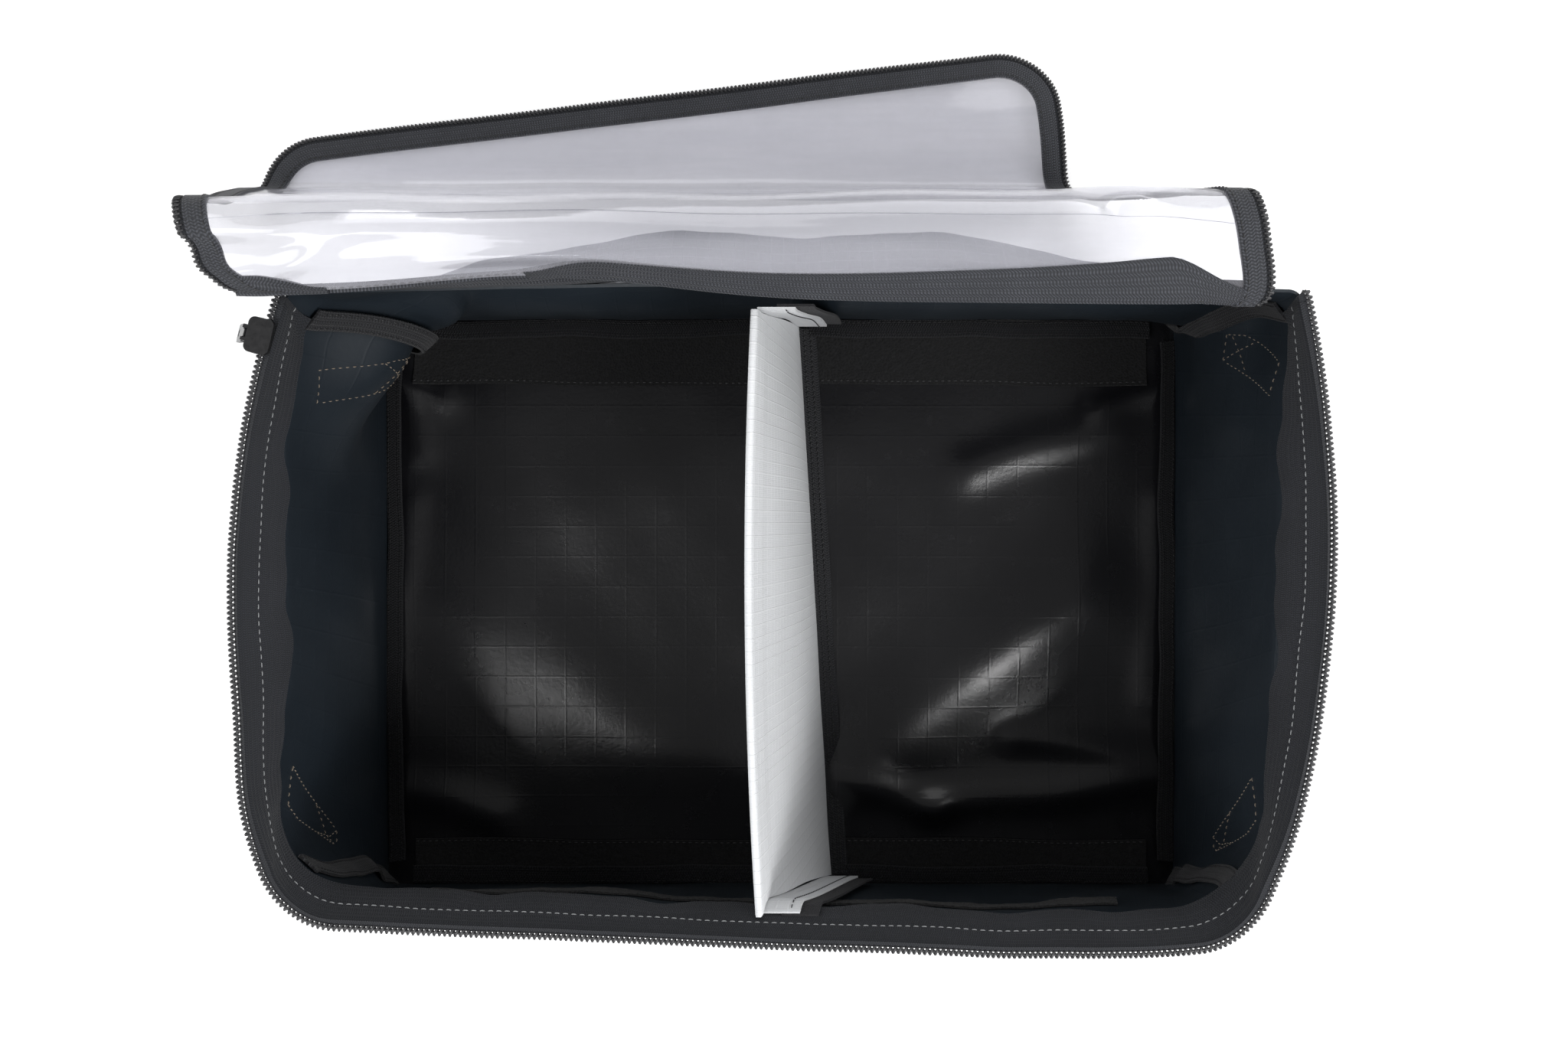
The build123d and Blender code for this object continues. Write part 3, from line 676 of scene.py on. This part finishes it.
def rim_zip():
    """The zip tape folded over the lip, a pale row of stitching, and the coil along the lip's edge."""
    u = np.linspace(5.55, 8 + 3.45, 620)
    path, normal, _, _ = wall_frame(u, lip_height)
    run = lengths(path)
    wave = 1.5 * np.sin(run / 13) + 1.1 * np.sin(run / 7.1 + 1) + 1.2 * np.sin(run / 31 + 2)
    rows = []
    for share, inwards in ((0, 0.9), (0.25, 1.0), (0.5, 1.1), (0.72, 1.3), (0.88, 1.6), (1, 1.9)):
        free = smooth((share - 0.6) / 0.4)
        height = lip_height - share * (tape_reach + 0.9 * wave)
        rows.append(on_wall(u, height, canvas + inwards + free * 0.5 * np.abs(np.sin(run / 9 + 1))))
    top = [on_wall(u, lip_height, inwards) + 1.3 * upright for inwards in (2.2, -1.0)]
    outside = [on_wall(u, lip_height - drop, -0.9) for drop in (1.5, 4.5, 8.0)]
    work = Work()
    work.sheet(np.stack(rows[::-1] + top + outside), 0.5, 0.5)
    _, tape_normal, _, _ = wall_frame(u, lip_height - 7)
    line = on_wall(u, lip_height - 6.5 + 0.25 * np.sin(run / 11), canvas + 1.75)
    work.stitches(line, -tape_normal, 1, 2.5, 1.5, 0.26)
    work.stitches(on_wall(u, lip_height - 5.5, -1.5), tape_normal, 1, 2.5, 1.5, 0.26)
    sides = ("front", "left", "right")
    work.settle("rim_zip_tape", [zip_tape, pale_thread], "zip_tape", "bag",
                [f"rim_zip_tape_{side}" for side in sides], 70)
    flat = unit(normal * [1, 1, 0])
    centre = path + flat * 2.3 + [0, 0, 1.5]
    work = Work()
    work.coil(centre, flat, upright, 0)
    work.tube(centre[::3], 0.7, 6, upright, 0)
    work.settle("rim_zip_coil", [nylon], "zip_coil", "bag", [f"rim_zip_coil_{side}" for side in sides], 80)


# ---- divider ----
divider_foot, divider_head = 6, rim_height - 8
clear_of_wall = 5.6


def divider_x(y, height):
    """The divider leans to the left and is twisted a little."""
    share = (height - divider_foot) / (divider_head - divider_foot)
    foot = 21 - 10 * y / 165
    head = -15.5 + 4.5 * (y / 150) ** 2 - 1.5 * y / 150
    sway = 2.4 * np.sin(y / 58 + 0.5) * np.sin(math.pi * share) + 3.5 * np.sin(math.pi * share)
    return foot + (head - foot) * share + sway


def divider_ends(height):
    """Where the divider stops short of the front and back walls."""
    front = on_wall(0.5 + 0 * height, height, canvas + clear_of_wall)[..., 1]
    back = wall_plan(4.5 + 0 * height, height)[..., 1] - canvas - clear_of_wall
    return front, back


def divider():
    heights = np.concatenate([np.linspace(divider_foot, divider_head - 9, 34),
                              np.linspace(divider_head - 7, divider_head, 6)])
    front, back = divider_ends(heights)
    t, h = np.meshgrid(np.linspace(0, 1, 90), heights)
    y = front[:, None] + (back - front)[:, None] * t
    grid = np.stack([divider_x(y, h), y, h + 1.2 * np.sin(y / 49) * smooth((h - 120) / 60)], -1)
    hem = 1.15 + 0.9 * smooth((h - divider_head + 24) / 6) * (1 - smooth((h - divider_head + 2) / 2.5))
    work = Work()
    work.sheet(grid, hem, hem, cloth=np.stack([y, h], -1))
    panel = work.settle("divider_panel", [divider_cloth], "divider_canvas", "divider", sharp=80)

    ys = np.linspace(front[0] + 1, back[0] - 1, 120)
    path = np.stack([divider_x(ys, 10 + 0 * ys) + 5.5, ys, 8.2 + 0.8 * np.sin(ys / 13)], -1)
    across = unit(np.stack([0.86 + 0 * ys, 0 * ys, -0.42 + 0.08 * np.sin(ys / 17)], -1))
    work = Work()
    facing = strip(work, path, across, binding_width + 1, 0.8, 0.8)
    work.seams(path, facing, across, (-2.2, 2.2), ((-1, 1.2), (1, 1.2)), 2.2, 1.0, 0.28)
    work.settle("divider_foot_binding", *painted_shade_seam, "divider")


def divider_grips():
    """The divider's end flanges, and the hook tape that holds them to the walls."""
    heights = np.linspace(20, divider_head - 4, 50)
    front, back = divider_ends(heights)
    for name, s, inner in (("front", -1, front - 2.2), ("back", 1, back + 2.2)):
        middle = divider_x(inner, heights)
        sway = s * 0.5 * np.sin(heights / 19)
        for kind, start, end, depth, material, slot in (
                ("flange", 0.5, 19, 0.9, divider_cloth, "divider_canvas"),
                ("hook_strip", 10, 28, -0.6, hook_pile, "hook_tape")):
            x = middle[:, None] + np.linspace(start, end, 12)
            y, z = [np.repeat(values[:, None], 12, 1) for values in (inner - s * depth - sway, heights)]
            work = Work()
            work.sheet(np.stack([x, y, z], -1), 0.6, 0.6)
            if kind == "flange":
                row = np.stack([middle + 14.5, inner - s * (depth + 0.75) - sway, heights], -1)
                work.stitches(row, np.array([0, -s, 0]), 1, 2.6, 1.4, 0.3)
            work.settle(f"divider_{kind}_{name}", [material, black_thread], slot, "divider")


# ---- handles ----
def handle_place(name):
    """Where a handle turns on its wall, and how far its legs stand from the middle there."""
    return np.array(joints[f"handle_{name}_swing"]["pos_m"]) * 1000, 99.0


def handle_legs(s, name):
    """The two ends of the webbing, sewn to the outside of a side wall and loose at their tops."""
    low, _ = box(f"handle_legs_{name}")
    pivot, apart = handle_place(name)
    work = Work()
    for t in (-1, 1):
        foot = np.array([0, t * 122.0, low[2] + 4])
        head = np.array([0, t * apart, pivot[2] + 3])
        climb = np.linspace(0, 1, 30)[:, None]
        path = foot * (1 - climb) + head * climb
        reach = np.array([u_at(2 if s > 0 else 6, y, z) for y, z in path[:, 1:]])
        surface, normal, _, _ = wall_frame(reach, path[:, 2])
        loose = smooth((climb[:, 0] - 0.7) / 0.3)
        hold = surface + normal * (1.6 + 0.5 * loose)[:, None]
        tucked = front_tuck if s > 0 > t else 0
        hold = hold + (np.array([pivot[0] - tucked, 0, 0]) - hold * [1, 0, 0]) * loose[:, None]
        across = unit(np.cross(normal, np.gradient(hold, axis=0))) * s
        facing = strip(work, hold, across, webbing_width, 0.8, 0.8, columns=7)
        out = 1.0 if np.sum(facing * normal) > 0 else -1.0
        work.seams(hold[:22], facing[:22], across[:22], (-9.5, 9.5), ((out, 1.15),), 2.4, 1.6, 0.3)
    work.settle(f"handle_legs_{name}", [webbing, pale_thread], "webbing", "bag")


def handle_strap(s, name):
    """The loop of webbing between the legs, hanging down outside the wall."""
    box_low, box_high = box(f"handle_strap_{name}")
    pivot, apart = handle_place(name)
    drop, lean = pivot[2] - box_low[2], abs(box_high[0] - box_low[0])
    t = np.linspace(-1, 1, 120)
    hang = 1 - np.abs(t) ** 3.2
    y = apart * np.sin(t * math.pi / 2) * (0.80 + 0.20 * np.abs(t) ** 4)
    out = lean * 0.85 * hang + 1.5 * np.sin(t * 5)
    tucked = front_tuck * smooth((-40 - y) / 60) * (s > 0)
    path = np.stack([pivot[0] + s * out - tucked, y, pivot[2] + 3 - (drop - 11) * hang], -1)
    across = unit(np.cross(unit(np.gradient(path, axis=0)), unit(np.array([s * 1.0, 0, 0.16]))))
    work = Work()
    facing = strip(work, path, across, webbing_width - 1, 0.8, 0.8, columns=7)
    work.seams(path, facing, across, (-9.5, 9.5), ((1, 1.15),), 2.4, 1.6, 0.3)
    work.settle(f"handle_strap_{name}", [webbing, black_thread], "webbing", f"handle_{name}")


# ---- lid ----
def fold_line(name):
    """A fold's point, direction and angle from open to shut."""
    joint = joints[name]
    angle = max(joint["range_deg"], key=abs)
    return np.array(joint["pos_m"]) * 1000, np.array(joint["axis"]), math.radians(angle)


def turn_about(points, point, axis, angle):
    v = points - point
    return (point + v * math.cos(angle) + np.cross(axis, v) * math.sin(angle)
            + np.sum(v * axis, -1, keepdims=True) * axis * (1 - math.cos(angle)))


folds = [fold_line(name) for name in fold_names]
fold_places = []  # each fold on the flat lid: distance from the hinge at mid-width, and slope
for number, (point, axis, _) in enumerate(folds):
    ends = np.array([point, point + 100 * axis])
    for inner in folds[:number][::-1]:
        ends = turn_about(ends, *inner)
    flat = np.stack([ends[:, 0] - lid_shift, hinge_y - ends[:, 1]], -1)
    slope = (flat[1, 1] - flat[0, 1]) / (flat[1, 0] - flat[0, 0])
    fold_places.append((flat[0, 1] - slope * flat[0, 0], slope))


def fold_at(number, x):
    distance, slope = fold_places[number]
    return distance + slope * x


def folded(x, d):
    """The open lid with sharp folds, from its flat coordinates: x across it and d from the hinge."""
    p = np.stack([lid_shift + x, hinge_y - d, lid_level + 0 * x], -1)
    for number, (point, axis, angle) in enumerate(folds):
        beyond = (d > fold_at(number, x))[..., None]
        p = np.where(beyond, turn_about(p, point, axis, -angle), p)
    return p


def ground_at(x):
    """Distance from the hinge at which the lid meets the ground."""
    return 283.5 - 0.12 * x


def hung(x, d):
    """The open lid as it hangs from its drop fold to the ground and lies on it, still with sharp folds."""
    drop, ground = fold_at(2, x), ground_at(x)
    far = folded(x, lid_length + 0 * d)
    way = unit(far - folded(x, lid_length - 3 + 0 * d))
    foot = far - way * (lid_length - ground)[..., None]
    share = np.clip((d - drop) / (ground - drop), 0, 1)[..., None]
    low = folded(x, drop + 0 * d) * (1 - share) + foot * share + way * np.maximum(0, d - ground)[..., None]
    return np.where((d > drop)[..., None], low, folded(x, d))


def soft_lid(x, d):
    """The open lid with rounded folds, skewed to the left as it lies."""
    reach = 3 + 9 * smooth((d - fold_at(0, x)) / 18)
    reach = np.minimum(reach, np.maximum(0.5, np.minimum(d, lid_length + 20 - d)))
    total = 0
    weights = (1, 2, 3, 4, 3, 2, 1)
    for k, weight in enumerate(weights):
        total = total + weight * hung(x, d + reach * (k - 3) / 3)
    p = total / sum(weights)
    skew = -13 * smooth((d - 3) / 27) - 9 * smooth((d - 60) / 220)
    front, back = fold_at(0, x), fold_at(2, x)
    over = smooth((d - front) / (back - front))
    narrow = -0.022 * x * smooth((d - front) / 14) * (1 - smooth((d - back) / 90))
    sag = (3 - 0.06 * x + 10 * bump((x + 90) / 75)) * smooth(d / np.minimum(front, 12)) * (1 - over)
    square = 0.08 * x * over * (1 - np.clip((d - back) / (ground_at(x) - back), 0, 1))
    return p + np.stack([skew + narrow, sag + square, 0 * skew], -1)


def lid_shape(x, d):
    """How far the lid's surface stands off the folded sheet, outwards at rest."""
    over = d - fold_at(0, x)
    loft = 3.0 * bump((over - 18) / 14) - 5 * bump((d - 170) / 66)
    lift = 9 * smooth((x - 40) / 200) * bump((d - 292) / 30)
    waves = np.sin(x / 47 + d / 21 + 1) + 0.8 * np.sin(x / 23 - d / 34) + 0.5 * np.sin(x / 71 + d / 9)
    creases = 1.6 * bump((over - 20 - 0.06 * x) / 5) * smooth((x + 210) / 120) * smooth((60 - x) / 160)
    creases = creases - 2.4 * bump((x - 205 + 0.8 * over) / 9) * bump((over - 26) / 18)
    creases = creases + 2.2 * bump((x + 222 - 0.9 * over) / 10) * bump((over - 22) / 16)
    return loft + lift + waves * smooth(over / 14) * (0.5 + 0.5 * bump((d - 60) / 60)) + creases


def lid_frame(x, d):
    """Point and outward normal of the open lid, whose roll droops at both ends."""
    x, d = np.broadcast_arrays(np.asarray(x, float), np.asarray(d, float))
    across = unit(soft_lid(x + 1.5, d) - soft_lid(x - 1.5, d))
    ahead = unit(soft_lid(x, d + 1.5) - soft_lid(x, d - 1.5))
    normal = unit(np.cross(across, ahead))
    droop = 9 * smooth((np.abs(x + 4) / lid_half - 0.74) / 0.26) * bump((d - fold_at(0, x) - 40) / 34)
    point = soft_lid(x, d) + normal * lid_shape(x, d)[..., None]
    return point - upright * droop[..., None], normal


def lid_point(x, d, lift=0.0):
    point, normal = lid_frame(x, d)
    return point + normal * np.broadcast_to(lift, point.shape[:-1])[..., None]


def half_at(d, inset, side):
    """Half width of the lid on one side: it narrows towards the hinge, and the far corners are round."""
    near = np.clip(roll_bend - d + fold_at(0, side * lid_half), 0, roll_bend)
    neck = roll_bend - np.sqrt(roll_bend * roll_bend - near * near)
    radius = lid_corner - inset
    run = np.clip(d - (lid_length - lid_corner), 0, radius)
    return lid_half - inset - neck - radius + np.sqrt(np.maximum(radius * radius - run * run, 0))


def rim_of_lid(inset, count=420):
    """The lid's whole edge but for the hinge: down the left side, across, and back up the right side."""
    radius = lid_corner - inset
    x, far = lid_half - inset, lid_length - inset
    turn = np.linspace(0, math.pi / 2, 24)
    left = np.stack([-(x - radius) - radius * np.cos(turn), far - radius + radius * np.sin(turn)], -1)
    half = np.concatenate([[(-x, 0)], left])
    flat = np.concatenate([half, half[::-1] * [-1, 1]])
    run = lengths(flat)
    return along(flat, run, np.linspace(0, run[-1], count))


def part_ends(number, x):
    """Distances where one of the lid's three parts starts and ends: they part halfway between two folds."""
    places = [fold_at(0, x), (fold_at(1, x) + fold_at(2, x)) / 2, (fold_at(2, x) + fold_at(3, x)) / 2,
              lid_length + 0 * x]
    return places[number], places[number + 1]


def lid_edge(number, side, inset):
    """Edge of one of the lid's parts, drawn in by an inset: its left (-1) or right (1), or all round (0)."""
    if side:
        d = np.linspace(*part_ends(number, side * lid_half), 60)
        return side * half_at(d, inset, side), d
    line = rim_of_lid(inset)
    run = lengths(line)
    start, end = [part_ends(number, end * lid_half)[0] for end in (-1, 1)]
    return along(line, run, np.linspace(start, run[-1] - end, len(line))).T


def roll_binding(binding):
    """The binding along the roll's front, in two stretches that taper off."""
    for low, high in ((-lid_half + 22, -190), (-100, lid_half - 24)):
        xs = np.linspace(low, high, max(12, int((high - low) / 4)))
        taper = smooth((high - xs) / 36)
        if high > 0:
            taper = smooth((xs - low) / 40) * (0.2 + 0.8 * smooth((high - xs) / 30))
        d = fold_at(0, xs) + 0.2 + (3 + 9.5 * taper) * np.linspace(0, 1, 6)[:, None]
        binding.sheet(lid_point(xs + 0 * d, d), 1.2, 1.0)


def lid_part(number, name, fold, near, far, nodes, rows):
    """Clear sheet, binding and zip of one of the lid's parts."""

    def hang(piece, kind):
        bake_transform(piece)
        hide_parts(*[f"lid_{kind}_{node}" for node in nodes])
        return piece

    share = np.linspace(-1, 1, 121)
    first, last = part_ends(number, share * lid_half)
    if name == "far":
        last = last - window_inset
    d = first + (last - first) * np.linspace(0, 1, rows)[:, None]
    x = share * half_at(np.minimum(d, lid_length), window_inset, np.sign(share))
    work = Work()
    work.sheet(lid_point(x, d), 0.35, 0.35, cloth=np.stack([x, d], -1))
    sheet = hang(work.piece(f"lid_sheet_{name}", [vinyl], "clear_sheet"), "window")

    binding, zipper = Work(), Work()
    insets = np.linspace(binding_inset, binding_inset + binding_width - 1.5, 7)
    for side in (0,) if name == "far" else (-1, 1):
        x, d = np.stack([lid_edge(number, side, inset) for inset in insets], 1)
        grid = lid_point(x, d)
        binding.sheet(grid, 1.3, 1.3)
        _, normal = lid_frame(x[5], d[5])
        binding.seams(grid[5], normal, 0, (0,), ((1, 1.4), (-1, 1.4)), 2.4, 1.2, 0.28)
        x, d = np.stack([lid_edge(number, side, inset) for inset in (1.6, 4.2, 7.5)], 1)
        zipper.sheet(lid_point(x, d, -0.3), 0.45, 0.45)
        centre, normal = lid_frame(*lid_edge(number, side, 1.4))
        inner = lid_point(*lid_edge(number, side, 4.4))
        zipper.coil(centre, unit(centre - inner), normal, 1)
        zipper.tube(centre[::2], 0.7, 6, np.array([0.3, 0.2, 0.93]), 1)
    if name == "roll":
        roll_binding(binding)
    hang(binding.piece(f"lid_binding_{name}", [tape, black_thread], "seam_binding", 60), "binding")
    hang(zipper.piece(f"lid_zip_{name}", [zip_tape, nylon], "zip_coil", 80), "zip")


def hinge_tape():
    """The woven strip that joins the lid's near edge to the back of the rim."""
    xs = np.linspace(-238, 226, 120)
    share = np.linspace(0, 1, 8)[:, None]
    fold = fold_at(0, xs)
    u = 4 + (1 - (xs + shoulder[0]) / (2 * shoulder[0]))
    wall = bare_wall(u, 0 * xs + lip_height - 5)
    wide = 0.2 + 0.8 * smooth((xs + 120) / 70)
    rows = [wall + np.stack([0 * xs, 3.2 * wide - 1.2, 4 - 4 * wide], -1),
            np.stack([xs + lid_shift * 0.4, wall[:, 1] + 2.4 * wide - 1.2, lip_height + 2 + 3 * wide], -1)]
    d = fold - (fold - 3) * wide * (1 - share)
    lying = lid_point(xs + 0 * d - lid_shift * 0.6, d, -0.4)
    grid = np.concatenate([rows, lying])
    work = Work()
    work.sheet(grid, 1.0, 1.0)
    _, normal = lid_frame(xs, fold * 0.6)
    work.seams(grid[5], normal, 0, (0,), ((-1, 1.2), (1, 1.2)), 2.6, 1.4, 0.3)
    work.settle("hinge_tape", [tape, black_thread], "seam_binding", "bag",
                ["hinge_binding", "lid_window_hinge", "lid_binding_hinge", "lid_zip_hinge"], 70)


# ---- slider and pull ----
def metal():
    for name in ("zip_slider", "zip_pull"):
        node = frame["nodes"][name]
        node.data.materials.clear()
        node.data.materials.append(enamel)
        bevel = node.modifiers.new("soft edges", "BEVEL")
        bevel.width, bevel.segments, bevel.limit_method = 0.0004, 2, "ANGLE"


# ---- stage, lights and camera ----
def lamp(name, place, target, width, height, power):
    data = bpy.data.lights.new(name, "AREA")
    data.shape, data.size, data.size_y, data.energy = "RECTANGLE", width, height, power
    light = bpy.data.objects.new(name, data)
    light.location = place
    light.rotation_euler = (Vector(target) - Vector(place)).to_track_quat("-Z", "Y").to_euler()
    show(light)


def stage():
    """A white floor, five area lights, and a sky that is brighter at the horizon than overhead."""
    mesh = bpy.data.meshes.new("studio_floor")
    reach = 12
    corners = [(-reach, -reach, 0), (reach, -reach, 0), (reach, reach, 0), (-reach, reach, 0)]
    mesh.from_pydata(corners, [], [(0, 1, 2, 3)])
    paper = {"Base Color": (0.93, 0.93, 0.93, 1), "Roughness": 0.9, "Emission Color": (1, 1, 1, 1),
             "Emission Strength": 0.12}
    mesh.materials.append(Finish("studio_floor").finish(paper))
    floor = bpy.data.objects.new("studio_floor", mesh)
    floor.location.z = -0.0005
    show(floor)
    # Name, place, target, width, height and power.
    for lamp_facts in (("left_softbox", (-0.80, -0.66, 1.35), (0, 0.05, 0.05), 0.7, 0.7, 12),
                       ("right_softbox", (0.80, -0.78, 1.30), (0, 0.05, 0.05), 0.7, 0.7, 25),
                       ("left_wall_light", (-1.6, 0.3, 1.0), (0, 0.05, 0.05), 0.9, 1.4, 16),
                       ("right_wall_light", (1.6, 0.4, 1.0), (0, 0.05, 0.05), 0.9, 1.4, 16),
                       ("back_softbox", (0.1, 1.7, 1.25), (0, 0.1, 0.1), 1.8, 0.6, 9)):
        lamp(*lamp_facts)
    world = bpy.data.worlds.new("studio")
    world.use_nodes = True
    tree = world.node_tree
    kinds = ("TexCoord", "SeparateXYZ", "MapRange")
    place, split, ramp = [tree.nodes.new("ShaderNode" + kind) for kind in kinds]
    for key, value in (("From Min", 0.15), ("From Max", 0.95), ("To Min", 0.50), ("To Max", 0.26)):
        ramp.inputs[key].default_value = value
    sky = tree.nodes["Background"].inputs
    sky["Color"].default_value = (1, 1, 1, 1)
    for source, target in ((place.outputs["Generated"], split.inputs[0]),
                           (split.outputs[2], ramp.inputs["Value"]), (ramp.outputs[0], sky["Strength"])):
        tree.links.new(source, target)
    bpy.context.scene.world = world
    bpy.context.scene.view_settings.view_transform = "Standard"


camera_place, camera_height, wide_lens = (0.002, 0.050), 0.7568, 27.44  # metres, and millimetres of lens


def camera():
    """Straight down over the bag, as far above the floor as a wide lens needs to show all of it."""
    data = bpy.data.cameras.new("camera")
    data.lens, data.sensor_width = wide_lens, 36
    data.clip_start = 0.01
    made = bpy.data.objects.new("camera", data)
    made.location = (*camera_place, camera_height)
    show(made)
    bpy.context.scene.camera = made


camera()
stage()
bag_shell()
floor_lining()
seam_bindings()
loop_strips()
rim_zip()
divider()
divider_grips()
for handle_side, handle_name in ((-1, "left"), (1, "right")):
    handle_legs(handle_side, handle_name)
    handle_strap(handle_side, handle_name)
hinge_tape()
# Name, a fold, how far before and after it, the CAD's panels, and rows of points.
for number, facts in enumerate((("roll", 1, 5, 5, ("roll", "crown"), 40),
                                ("hanging", 2, 5, 14, ("hanging",), 56), ("far", 3, 16, 16, ("far",), 72))):
    lid_part(number, *facts)
metal()
